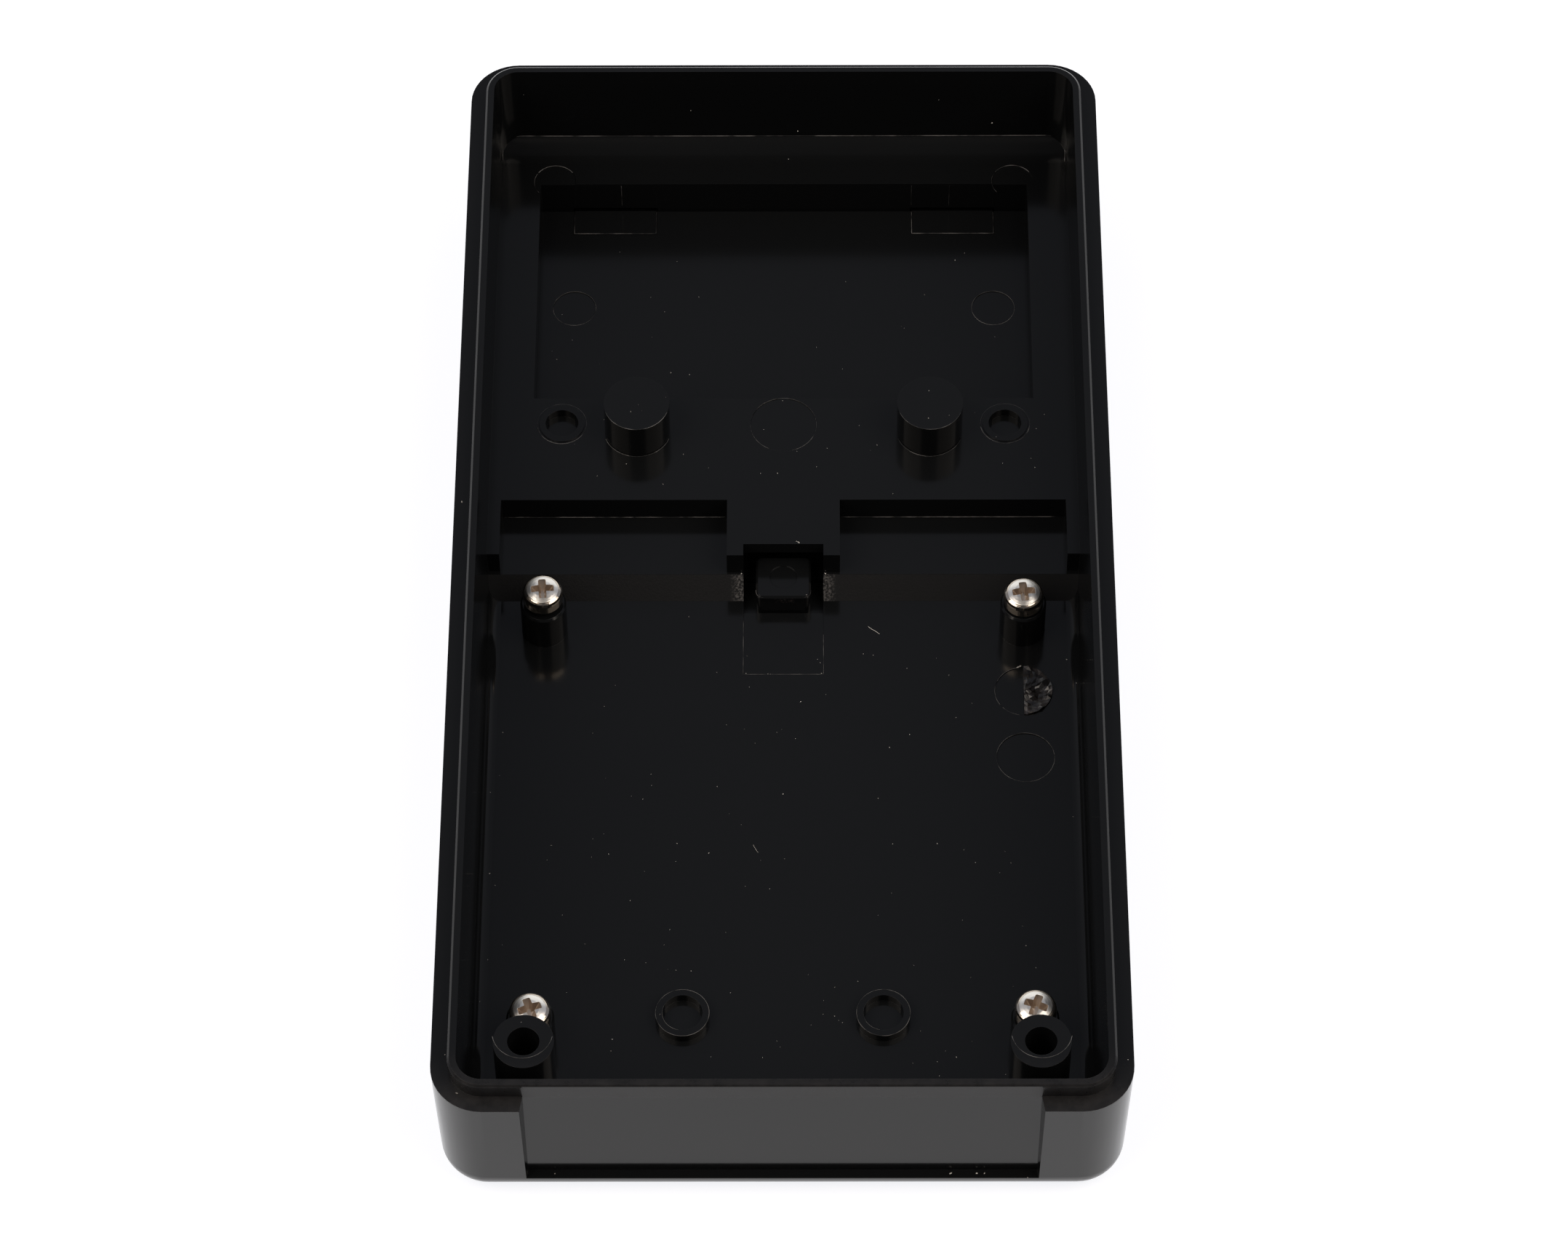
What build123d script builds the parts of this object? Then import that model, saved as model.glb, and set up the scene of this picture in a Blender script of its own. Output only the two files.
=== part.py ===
from build123d import *
import math
import os

# Bottom half of a hand-held instrument case, moulded in ABS, with its snap-in battery door
# and the four self-tapping screws of the circuit board. Millimetres, +Z up, +X across,
# +Y towards the battery end. The origin is at the middle of the flat underside.

# ---- the moulded shell ----
case_w = 80.0              # over the ledge, at the parting plane
case_l = 154.4
parting_z = 20.2           # height of the ledge that the upper half rests on
lip_h = 2.2                # raised lip inside the ledge
ledge_w = 2.0
wall_t = 3.0
floor_t = 2.2
corner_r = 6.0             # upright corners, at the parting plane
bottom_r = 4.2             # rounded edge all round the underside
cove_r = 1.5               # between the floor and the walls, inside
lip_edge_cut = 0.25
wall_draft = 1.5           # degrees, inside and outside

# ---- recess for an end panel, in the near wall ----
panel_w = 58.8             # across the flat of the recess
panel_low_z = 4.1
panel_draft = 2.0          # lean of the flat, degrees
panel_side_draft = 10.0    # slope of the sides and of the lower ledge, degrees

# ---- raised part of the floor, over the battery compartment ----
platform_h = 6.45          # above the main floor
platform_l = 15.75         # from the battery opening to its near edge
roof_t = 1.8               # thickness of what roofs the compartment
tier_h = 2.8               # low step in front of the platform, above the main floor
tier_l = 8.75
rail_w = 1.9               # side rails on the step, from the wall's face at the rim
rail_l = 8.25
stem_wall = 2.05           # tongue of the platform over the latch, beside the latch hole
stem_l = 8.45
sweep_h = 1.3              # hollow sweep from the platform up to the far wall
sweep_l = 3.5
sweep_r = 6.0              # of its section

# ---- battery opening and the space under the platform ----
bay_side = 5.55            # from the wall's face at the rim to the opening
bay_far = 7.3
bay_l = 34.7
bay_wall = 1.8             # wall that hangs from the roof at the near side of the opening
chamber_wall = 1.85        # wall under the platform's near edge

# ---- battery door ----
door_margin = 2.55         # how far its plate reaches past the opening at each side
door_t = 1.8
door_rise = 0.2            # its face stands in from the underside of the shell
door_gap = 0.25            # between the door and the shell, at its edges
door_roof_gap = 0.2        # above the plate
deck_margin = 1.55         # thicker middle of the door, past the opening at each side
deck_t = 3.15
deck_gap = 0.15            # between the deck and the walls above it
door_edge_cut = 0.6        # chamfer under the far edge, so that it can swing

# ---- far tabs of the door, and their slots ----
tab_inset = 9.55           # from the side of the opening to the middle of each tab
tab_w = 10.6
tab_t = 1.2
tab_l = 3.1                # beyond the far wall of the opening
tab_pad_l = 3.9            # pad at the root of the tab, on the door's inner face
tab_pad_h = 0.12
tab_tip_r = 0.4
sill_t = 0.9               # shell under each tab, on whose inner edge the door turns
tab_rise = 0.15            # running gap between a tab and its sill
tab_slot_gap = 0.2
tab_slot_room = 0.35       # left over the tab's tip when the door is swung out
door_swing = 25.0          # degrees, until the tabs leave their slots

# ---- latch of the door, a bent spring finger ----
latch_w = 6.8
latch_h = 4.8              # from the door's outer face to the top of the bend
latch_t = 1.2
latch_corner_r = 0.7
latch_bend_r = 0.25        # inside the bend
latch_edge_cut = 0.25
latch_gap = 0.37           # between the near leg and the edge of the hole
latch_side_gap = 1.55      # between the finger and each side of the hole
latch_barb = 0.15          # how far the catch stands out of the near leg
latch_barb_h = 1.5
latch_barb_gap = 0.2       # between the catch and the floor that it hooks over
latch_pad_t = 1.2          # finger pad at the bottom of the near leg, which closes the hole
latch_pad_lap = 1.0        # how far it laps under the floor, at each side of the hole
latch_pad_gap = 0.3        # between the pad and the sides of its recess, and before the far leg
latch_leg_out = 0.5        # how far the far leg stands out from under the roof
latch_hole_near = 3.87     # near edge of the hole, from the step's front
latch_hole_l = 5.87        # from there to the roof over the far leg
finger_scoop = 1.0         # chamfer under the hole, for a fingernail

# ---- circuit board posts and their screws ----
post_inset = 7.5           # from the wall's face at the rim
post_near = 16.7           # near posts, from the near wall
post_far = 6.2             # far posts, from the step's front
post_d = 5.65
post_h = 5.6
post_edge_cut = 0.25
pilot_depth = 7.0
screw_d = 2.1
screw_gap = 0.05           # between the shank and its pilot hole, all round
screw_l = 6.0
head_d = 4.9
head_side_h = 1.2          # straight side of the pan head
head_shoulder_h = 0.7      # shoulder above it, in two slopes
head_top_h = 0.35          # low cone on top
head_top_d = 3.8           # inside the shoulder
head_crown_d = 2.7         # flat middle, round the recess
recess_span = 2.6          # cross recess, tip to tip
recess_slot = 0.75
recess_depth = 1.3
recess_draft = 12.0        # degrees
screw_lifts = [0.0, 0.65, 0.95, 0.25]        # how far each is from home: near pair, far pair

# ---- case screw bosses, near corners ----
boss_inset = 7.5           # from the side wall's face at the rim
boss_near = 6.2            # from the near wall's face at the rim
boss_d = 7.0
boss_hole_d = 3.7
boss_base_d = 9.0
boss_base_h = 2.5
head_well_d = 6.2          # counterbore in the underside for the screw's head
head_well_depth = 3.0

# ---- shallow locating sockets in the platform ----
socket_inset = 9.2         # from the wall's face at the rim
socket_near = 3.95         # from the battery opening
socket_d = 4.1
socket_depth = 1.1
socket_rim_d = 5.7
socket_rim_h = 0.12

# ---- solid rests on the platform ----
rest_inset = 9.5           # from the socket beside it
rest_near = 4.9            # from the battery opening
rest_d = 8.2
rest_h = 5.5

# ---- locating rings on the floor ----
ring_pitch = 23.7
ring_near = 19.9           # from the near wall
ring_d = 6.4
ring_hole_d = 4.75
ring_h = 1.2

# ---- ejector and insert marks, sunk by a hair ----
mark_depth = 0.12
platform_mark_d = 8.3
platform_mark_near = 4.1   # from the battery opening
floor_mark_d = 7.1
floor_marks_near = [15.6, 25.3]    # two on the right, from the step's front
corner_mark_d = 5.4        # they overlap the far corners of the opening
corner_mark_inset = 1.85
corner_mark_far = 0.4
door_mark_d = 5.5
door_mark_inset = 4.55     # from the side of the opening
door_mark_far = 16.2       # from its far end
latch_mark_d = 3.4
insert_mark_l = 9.2        # square left by the mould insert of the latch hole
insert_mark_depth = 0.06

# ---- allowances ----
root = 0.5                 # how far an added piece reaches into what carries it
over = 1.0                 # how far a cut runs past the face that it opens

# ---- worked out: heights ----
top_z = parting_z + lip_h
platform_z = floor_t + platform_h
tier_z = floor_t + tier_h
roof_z = platform_z - roof_t
door_top_z = door_rise + door_t
door_roof_z = door_top_z + door_roof_gap
deck_top_z = door_rise + deck_t
deck_roof_z = deck_top_z + deck_gap
latch_top_z = door_rise + latch_h
latch_catch_z = floor_t + latch_barb_gap
latch_recess_z = door_rise + latch_pad_t + door_roof_gap
post_top_z = floor_t + post_h
pilot_d = screw_d + 2 * screw_gap
swing = math.radians(door_swing)
tab_slot_z = sill_t + (tab_rise + tab_t) * math.cos(swing) + tab_l * math.sin(swing) + tab_slot_room

# ---- worked out: places ----
inner_x = case_w / 2 - wall_t
inner_y = case_l / 2 - wall_t
bay_x = inner_x - bay_side
bay_far_y = inner_y - bay_far
bay_y = bay_far_y - bay_l
platform_y = bay_y - platform_l
tier_y = platform_y - tier_l
rail_x = inner_x - rail_w
chamber_y = platform_y + chamber_wall
chamber_far_y = bay_y - bay_wall
door_x = bay_x + door_margin
deck_x = bay_x + deck_margin
latch_hole_x = latch_w / 2 + latch_side_gap
latch_hole_y = tier_y - latch_hole_near
latch_roof_y = latch_hole_y + latch_hole_l
latch_pad_x = latch_hole_x + latch_pad_lap
latch_y = latch_hole_y + latch_gap
door_y = latch_roof_y - latch_leg_out
stem_x = latch_hole_x + stem_wall
tab_x = bay_x - tab_inset
post_x = inner_x - post_inset
near_post_y = -inner_y + post_near
far_post_y = tier_y - post_far
boss_x = inner_x - boss_inset
boss_y = -inner_y + boss_near
socket_x = inner_x - socket_inset
socket_y = bay_y - socket_near
rest_x = socket_x - rest_inset
rest_y = bay_y - rest_near
ring_y = -inner_y + ring_near


def span(x0, x1, y0, y1, z0, z1):
    """A block between two corners."""
    block = Box(x1 - x0, y1 - y0, z1 - z0)
    return Pos((x0 + x1) / 2, (y0 + y1) / 2, (z0 + z1) / 2) * block


def disc(x, y, diameter, z0, z1):
    """An upright cylinder between two heights."""
    return Pos(x, y, (z0 + z1) / 2) * Cylinder(diameter / 2, z1 - z0)


def drafted_block(width, length, radius, z_top, depth):
    """A rounded rectangle that narrows downwards by the draft of the mould."""
    down = Plane(origin=(0, 0, z_top), x_dir=(1, 0, 0), z_dir=(0, 0, -1))
    return extrude(down * RectangleRounded(width, length, radius), amount=depth, taper=wall_draft)


def outer_body():
    """The outside of the tray, with its rounded underside, and the lip on top."""
    tray = drafted_block(case_w, case_l, corner_r, parting_z, parting_z)
    tray = fillet(tray.edges().group_by(Axis.Z)[0], bottom_r)
    outline = RectangleRounded(case_w - 2 * ledge_w, case_l - 2 * ledge_w, corner_r - ledge_w)
    lip = Pos(0, 0, parting_z) * extrude(outline, amount=lip_h)
    lip = chamfer(lip.edges().group_by(Axis.Z)[-1], lip_edge_cut)
    return tray + lip


def hollow():
    """The inside of the tray, as a solid to take away, with the raised floor left standing."""
    inside = drafted_block(2 * inner_x, 2 * inner_y, corner_r - wall_t, top_z, top_z - floor_t)
    inside = fillet(inside.edges().group_by(Axis.Z)[0], cove_r)
    inside -= span(-inner_x, inner_x, platform_y, inner_y, 0, platform_z)
    inside -= span(-inner_x, inner_x, tier_y, inner_y, 0, tier_z)
    inside -= span(-stem_x, stem_x, platform_y - stem_l, inner_y, 0, platform_z)
    for side in (-1, 1):
        x0, x1 = sorted((side * rail_x, side * inner_x))
        inside -= span(x0, x1, platform_y - rail_l, inner_y, 0, platform_z)
    return inside


def far_sweep():
    """The hollow sweep that lifts the platform to the far wall, from side to side."""
    sweep_z = platform_z + sweep_h
    far = inner_y - (top_z - sweep_z) * math.tan(math.radians(wall_draft))
    section = RadiusArc((far, sweep_z), (far - sweep_l, platform_z), sweep_r)
    section += Polyline(
        (far - sweep_l, platform_z),
        (far - sweep_l, platform_z - root),
        (far + root, platform_z - root),
        (far + root, sweep_z),
        (far, sweep_z),
    )
    return extrude(Plane.YZ * make_face(section), amount=inner_x + root, both=True)


def panel_recess():
    """The shallow recess of the end panel, open at the top, with sloping sides."""
    height = 2 * (parting_z - panel_low_z)
    flat = Plane(origin=(0, -case_l / 2 + ledge_w, parting_z), x_dir=(1, 0, 0), z_dir=(0, -1, 0))
    flat = flat.rotated((-panel_draft, 0, 0))
    return extrude(flat * Rectangle(panel_w, height), amount=2 * ledge_w, taper=-panel_side_draft)


def door_space():
    """All that is cut from below for the door, its tabs and the space above it."""
    half = door_x + door_gap
    deck = deck_x + door_gap
    cut = span(-half, half, door_y - door_gap, bay_far_y, -over, door_roof_z)
    cut += span(-deck, deck, chamber_far_y, bay_far_y, 0, deck_roof_z)
    cut += span(-deck, deck, chamber_y, chamber_far_y, 0, roof_z)
    cut += span(-bay_x, bay_x, bay_y, bay_far_y, 0, platform_z + over)
    reach = tab_w / 2 + tab_slot_gap
    slot_far_y = bay_far_y + tab_l + tab_slot_gap
    for x in (-tab_x, tab_x):
        cut += span(x - reach, x + reach, bay_far_y - over, slot_far_y, sill_t, tab_slot_z)
    return cut


def latch_space():
    """The hole over the latch, its recess below and the tunnel from it to the compartment."""
    half = latch_hole_x
    recess = latch_pad_x + latch_pad_gap
    cut = span(-half, half, latch_hole_y, latch_roof_y, -over, platform_z + over)
    cut += span(-recess, recess, latch_hole_y, latch_roof_y, -over, latch_recess_z)
    cut += span(-half, half, latch_roof_y, chamber_y + over, 0, roof_z)
    edge = Polyline(
        (latch_hole_y + over, -over),
        (latch_hole_y + over, finger_scoop),
        (latch_hole_y, finger_scoop),
        (latch_hole_y - finger_scoop - over, -over),
        close=True,
    )
    return cut + extrude(Plane.YZ * make_face(edge), amount=half, both=True)


def board_posts():
    """The four posts of the circuit board and, apart, the pilot holes down them."""
    posts = Part()
    holes = Part()
    for x in (-post_x, post_x):
        for y in (near_post_y, far_post_y):
            post = disc(x, y, post_d, floor_t - root, post_top_z)
            posts += chamfer(post.edges().group_by(Axis.Z)[-1], post_edge_cut)
            holes += disc(x, y, pilot_d, post_top_z - pilot_depth, post_top_z + over)
    return posts, holes


def case_bosses():
    """The two tall bosses of the near case screws and, apart, their stepped holes."""
    bosses = Part()
    holes = Part()
    foot = Cone(boss_base_d / 2, boss_d / 2, boss_base_h)
    for x in (-boss_x, boss_x):
        bosses += disc(x, boss_y, boss_d, floor_t - root, parting_z)
        bosses += Pos(x, boss_y, floor_t + boss_base_h / 2) * foot
        holes += disc(x, boss_y, boss_hole_d, -over, parting_z + over)
        holes += disc(x, boss_y, head_well_d, -over, head_well_depth)
    return bosses, holes


def platform_details():
    """Rests and socket rims on the platform and, apart, the shallow sockets themselves."""
    added = Part()
    holes = Part()
    rim_z = platform_z + socket_rim_h
    for side in (-1, 1):
        added += disc(side * rest_x, rest_y, rest_d, platform_z - root, platform_z + rest_h)
        added += disc(side * socket_x, socket_y, socket_rim_d, platform_z - root, rim_z)
        holes += disc(side * socket_x, socket_y, socket_d, platform_z - socket_depth, rim_z + over)
    return added, holes


def floor_rings():
    """The two low locating rings on the main floor."""
    rings = Part()
    for x in (-ring_pitch / 2, ring_pitch / 2):
        ring = disc(x, ring_y, ring_d, floor_t - root, floor_t + ring_h)
        rings += ring - disc(x, ring_y, ring_hole_d, floor_t, floor_t + ring_h + over)
    return rings


def shell_marks():
    """The shallow marks of the ejector pins and of the latch hole's insert."""
    low = platform_z - mark_depth
    marks = disc(0, bay_y - platform_mark_near, platform_mark_d, low, platform_z + over)
    for x in (corner_mark_inset - bay_x, bay_x - corner_mark_inset):
        marks += disc(x, bay_far_y + corner_mark_far, corner_mark_d, low, platform_z + over)
    for near in floor_marks_near:
        marks += disc(post_x, tier_y - near, floor_mark_d, floor_t - mark_depth, floor_t + root)
    insert = span(
        -latch_hole_x, latch_hole_x, latch_hole_y - insert_mark_l, latch_hole_y,
        floor_t - insert_mark_depth, floor_t + root,
    )
    return marks + insert


def base_shell():
    """The moulded tray, in one piece."""
    posts, pilot_holes = board_posts()
    bosses, boss_holes = case_bosses()
    added, sockets = platform_details()
    shell = outer_body() - hollow()
    shell += far_sweep()
    shell += posts + bosses + added + floor_rings()
    shell -= panel_recess()
    shell -= door_space()
    shell -= latch_space()
    shell -= pilot_holes + boss_holes + sockets
    shell -= shell_marks()
    return shell


def door_latch():
    """The bent spring finger: up from the door's edge, over, and down to the finger pad."""
    half = latch_w / 2
    flat = half - latch_corner_r
    far = door_y + latch_t
    outline = span(-half, half, latch_y, far, door_rise, latch_top_z)
    outline = fillet(outline.edges().filter_by(Axis.Z), latch_corner_r)
    outline = chamfer(outline.edges().group_by(Axis.Z)[-1], latch_edge_cut)
    inside = span(-latch_w, latch_w, latch_y + latch_t, door_y, -over, latch_top_z - latch_t)
    inside = fillet(inside.edges().filter_by(Axis.X).group_by(Axis.Z)[-1], latch_bend_r)
    finger = outline - inside
    pad_far_y = door_y - latch_pad_gap
    pad_top_z = door_rise + latch_pad_t
    finger += span(-latch_pad_x, latch_pad_x, latch_y, pad_far_y, door_rise, pad_top_z)
    catch = Polyline(
        (latch_y + root, latch_catch_z),
        (latch_y - latch_barb, latch_catch_z),
        (latch_y, latch_catch_z + latch_barb_h),
        (latch_y + root, latch_catch_z + latch_barb_h),
        close=True,
    )
    finger += extrude(Plane.YZ * make_face(catch), amount=flat, both=True)
    middle = (latch_y + far) / 2
    return finger - disc(0, middle, latch_mark_d, latch_top_z - mark_depth, latch_top_z + over)


def battery_door():
    """The door: a plate with a thicker deck, two far tabs and the latch."""
    far = bay_far_y - door_gap
    plate = span(-door_x, door_x, door_y, far, door_rise, door_top_z)
    plate += span(-deck_x, deck_x, chamber_far_y + door_gap, far, door_rise, deck_top_z)
    edge = plate.edges().filter_by(Axis.X).group_by(Axis.Z)[0].sort_by(Axis.Y)[-1]
    plate = chamfer(edge, door_edge_cut)
    tab_z = sill_t + tab_rise
    for x in (-tab_x, tab_x):
        x0 = x - tab_w / 2
        x1 = x + tab_w / 2
        tab = span(x0, x1, far - root, bay_far_y + tab_l, tab_z, tab_z + tab_t)
        plate += fillet(tab.edges().filter_by(Axis.X).group_by(Axis.Y)[-1], tab_tip_r)
        plate += span(x0, x1, far - tab_pad_l, far, deck_top_z - root, deck_top_z + tab_pad_h)
    for x in (door_mark_inset - bay_x, bay_x - door_mark_inset):
        low = deck_top_z - mark_depth
        plate -= disc(x, bay_far_y - door_mark_far, door_mark_d, low, deck_top_z + over)
    return plate + door_latch()


def board_screw(x, y, lift):
    """A blunt pan-head self-tapping screw with a cross recess, its thread left plain."""
    shank = screw_d / 2
    r = head_d / 2
    shoulder = head_top_d / 2
    crown = head_crown_d / 2
    shoulder_z = head_side_h + head_shoulder_h
    top = shoulder_z + head_top_h
    slant = math.sin(math.radians(45))
    bulge = (shoulder + (r - shoulder) * slant, head_side_h + head_shoulder_h * slant)
    profile = Polyline(
        (0, -screw_l),
        (shank, -screw_l),
        (shank, 0),
        (r, 0),
        (r, head_side_h),
        bulge,
        (shoulder, shoulder_z),
        (crown, top),
        (0, top),
        close=True,
    )
    screw = revolve(Plane.XZ * make_face(profile), Axis.Z)
    cross = Rectangle(recess_span, recess_slot) + Rectangle(recess_slot, recess_span)
    mouth = Plane(origin=(0, 0, top), x_dir=(1, 0, 0), z_dir=(0, 0, -1))
    screw -= extrude(mouth * cross, amount=recess_depth, taper=recess_draft)
    return Pos(x, y, post_top_z + lift) * screw


os.makedirs("parts", exist_ok=True)
export_step(base_shell(), "parts/base_shell.step")
export_step(battery_door(), "parts/battery_door.step")
screw_places = {
    "pcb_screw_front_left": (-post_x, near_post_y),
    "pcb_screw_front_right": (post_x, near_post_y),
    "pcb_screw_rear_left": (-post_x, far_post_y),
    "pcb_screw_rear_right": (post_x, far_post_y),
}
for (name, place), lift in zip(screw_places.items(), screw_lifts):
    export_step(board_screw(*place, lift), f"parts/{name}.step")
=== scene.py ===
import math
import random
import bmesh
import bpy
from mathutils import Matrix, Vector, noise


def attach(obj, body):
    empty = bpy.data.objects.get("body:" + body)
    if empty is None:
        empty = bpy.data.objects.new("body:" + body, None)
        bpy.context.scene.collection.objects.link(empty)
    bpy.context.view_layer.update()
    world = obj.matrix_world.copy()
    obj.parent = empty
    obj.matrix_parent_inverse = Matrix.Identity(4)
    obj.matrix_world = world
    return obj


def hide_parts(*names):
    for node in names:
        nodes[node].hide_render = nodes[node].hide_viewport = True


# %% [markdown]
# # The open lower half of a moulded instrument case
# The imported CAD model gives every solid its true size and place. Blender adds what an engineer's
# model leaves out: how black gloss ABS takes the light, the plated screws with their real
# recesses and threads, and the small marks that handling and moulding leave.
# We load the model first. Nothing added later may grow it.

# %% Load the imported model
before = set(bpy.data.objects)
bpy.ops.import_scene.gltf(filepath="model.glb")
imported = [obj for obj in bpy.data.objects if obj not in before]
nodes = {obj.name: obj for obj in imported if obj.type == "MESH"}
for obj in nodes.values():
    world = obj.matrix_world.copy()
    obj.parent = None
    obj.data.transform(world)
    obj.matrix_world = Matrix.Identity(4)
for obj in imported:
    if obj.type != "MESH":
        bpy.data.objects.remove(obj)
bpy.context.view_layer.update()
print("nodes:", sorted(nodes))

# %% [markdown]
# Blender measures in metres and the drawing of a plastic part is in millimetres. One small
# function converts, so that each size below reads as it would on the drawing.
# Another turns a colour written as a hex number, which is how a swatch is given, into the
# linear values that shaders work in.

# %% Units and colours
def mm(*values):
    scaled = tuple(v / 1000 for v in values)
    return scaled[0] if len(scaled) == 1 else Vector(scaled)


def colour(code):
    channels = [int(code[i:i + 2], 16) / 255 for i in (1, 3, 5)]
    linear = [c / 12.92 if c <= 0.04045 else ((c + 0.055) / 1.055) ** 2.4 for c in channels]
    return (*linear, 1.0)


print("10 mm is", mm(10), "m; mid grey is", [round(c, 3) for c in colour("#808080")])

# %% [markdown]
# A node tree can be built by hand in the editor or in code. In code it stays readable when one
# helper adds a node, sets its sockets and joins its inputs in a single line.

# %% One helper for shader nodes
def add(tree, kind, settings=None, links=None, **attributes):
    node = tree.nodes.new(kind)
    for name, value in attributes.items():
        setattr(node, name, value)
    for socket, value in (settings or {}).items():
        node.inputs[socket].default_value = value
    for socket, source in (links or {}).items():
        tree.links.new(source, node.inputs[socket])
    return node


def new_material(name):
    material = bpy.data.materials.new(name)
    material.use_nodes = True
    material.node_tree.nodes.clear()
    return material


print("helpers ready")

# %% [markdown]
# ## The camera
# The case lies flat and is looked at from its near end, high up, with a long lens: the far end
# is only a little narrower than the near one. A camera could be aimed with a constraint, but a
# written matrix says exactly where it stands and can't be moved by anything else.

# %% Camera
view_down = math.radians(55.4)
yaw = -0.00589
roll = -0.00595
level = math.cos(view_down)
forward = Vector((math.sin(yaw) * level, math.cos(yaw) * level, -math.sin(view_down)))
right = Vector((math.cos(yaw), -math.sin(yaw), 0))
up = right.cross(forward)
right, up = (
    right * math.cos(roll) + up * math.sin(roll),
    up * math.cos(roll) - right * math.sin(roll),
)
axes = Matrix((right, up, -forward)).transposed().to_4x4()
lens = bpy.data.cameras.new("bench_camera")
lens.sensor_width = 36
lens.lens = 7591.59 / 2156 * 36
lens.clip_start = 0.02
camera = bpy.data.objects.new("bench_camera", lens)
camera.matrix_world = Matrix.Translation(mm(2.35862, -386.05902, 564.61871)) @ axes
bpy.context.scene.collection.objects.link(camera)
bpy.context.scene.camera = camera
bpy.context.scene.view_settings.view_transform = "Standard"
print("lens", round(lens.lens, 1), "mm, camera", round(camera.location.length, 3), "m away")

# %% [markdown]
# ## The bench
# The case lies on a white sheet that is lit to white. Lighting the sheet harder would also
# flood the case, so the sheet itself carries a little of its whiteness for the rays of the
# camera and of reflections. The other part is an ordinary matt surface, so the case still
# leaves its soft shadow on it. Under the case the sheet doesn't glow, or it would shine up
# through the gaps and holes. From below the sheet is clear, so that the underside can be seen.
# It lies a hair lower than the case, because two surfaces in one plane flicker in a render.

# %% White sheet
UNDER_CASE = {"X": 37, "Y": 73}     # half sizes in mm, just inside the outline
sheet_paper = new_material("white_matt_sheet")
tree = sheet_paper.node_tree
path = add(tree, "ShaderNodeLightPath")
place = add(tree, "ShaderNodeTexCoord")
axes = add(tree, "ShaderNodeSeparateXYZ", {}, {0: place.outputs["Object"]})
seen = path.outputs["Is Camera Ray"]
for kind in ("Is Glossy Ray", "Is Transmission Ray"):
    either = {0: seen, 1: path.outputs[kind]}
    seen = add(tree, "ShaderNodeMath", {}, either, operation="MAXIMUM").outputs[0]
outside = []
for axis, half in UNDER_CASE.items():
    far = add(tree, "ShaderNodeMath", {}, {0: axes.outputs[axis]}, operation="ABSOLUTE")
    limit = {1: mm(half)}
    far = add(tree, "ShaderNodeMath", limit, {0: far.outputs[0]}, operation="GREATER_THAN")
    outside.append(far.outputs[0])
beyond = add(tree, "ShaderNodeMath", {}, dict(enumerate(outside)), operation="MAXIMUM")
glows = add(tree, "ShaderNodeMath", {}, {0: seen, 1: beyond.outputs[0]}, operation="MULTIPLY")
matt = add(tree, "ShaderNodeBsdfDiffuse", {"Color": colour("#E6E6E6")})
half_matt = add(tree, "ShaderNodeBsdfDiffuse", {"Color": colour("#A0A0A0")})
glow = add(tree, "ShaderNodeEmission", {"Color": colour("#FAFBFF"), "Strength": 0.86})
lit = add(tree, "ShaderNodeAddShader", {}, {0: half_matt.outputs[0], 1: glow.outputs[0]})
parts = {0: glows.outputs[0], 1: matt.outputs[0], 2: lit.outputs[0]}
paper = add(tree, "ShaderNodeMixShader", {}, parts)
facing = add(tree, "ShaderNodeNewGeometry")
clear = add(tree, "ShaderNodeBsdfTransparent")
parts = {0: facing.outputs["Backfacing"], 1: paper.outputs[0], 2: clear.outputs[0]}
mix = add(tree, "ShaderNodeMixShader", {}, parts)
add(tree, "ShaderNodeOutputMaterial", {}, {"Surface": mix.outputs[0]})

SHEET_HALF = 6      # metres, far enough to fill the picture
SHEET_GAP = 0.03    # mm below the case
plane = bmesh.new()
bmesh.ops.create_grid(plane, x_segments=1, y_segments=1, size=SHEET_HALF)
sheet_mesh = bpy.data.meshes.new("bench_sheet")
plane.to_mesh(sheet_mesh)
plane.free()
sheet = bpy.data.objects.new("bench_sheet", sheet_mesh)
sheet_mesh.materials.append(sheet_paper)
sheet_mesh.transform(Matrix.Translation(mm(0, 0, -SHEET_GAP)))
bpy.context.scene.collection.objects.link(sheet)
print("sheet", [round(v, 1) for v in sheet.dimensions])

# %% [markdown]
# ## The light
# Black gloss plastic shows almost nothing of its own colour. What we see on it is what it
# mirrors, so the room matters more than the lamps. Beyond the far end stands a white backdrop,
# which dims with height; the flat floors of the case mirror its dim upper part. The rest of the
# room is nearly dark. A world shader that reads the direction of each ray draws this with no
# geometry at all. The camera itself sees plain white there.

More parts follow.
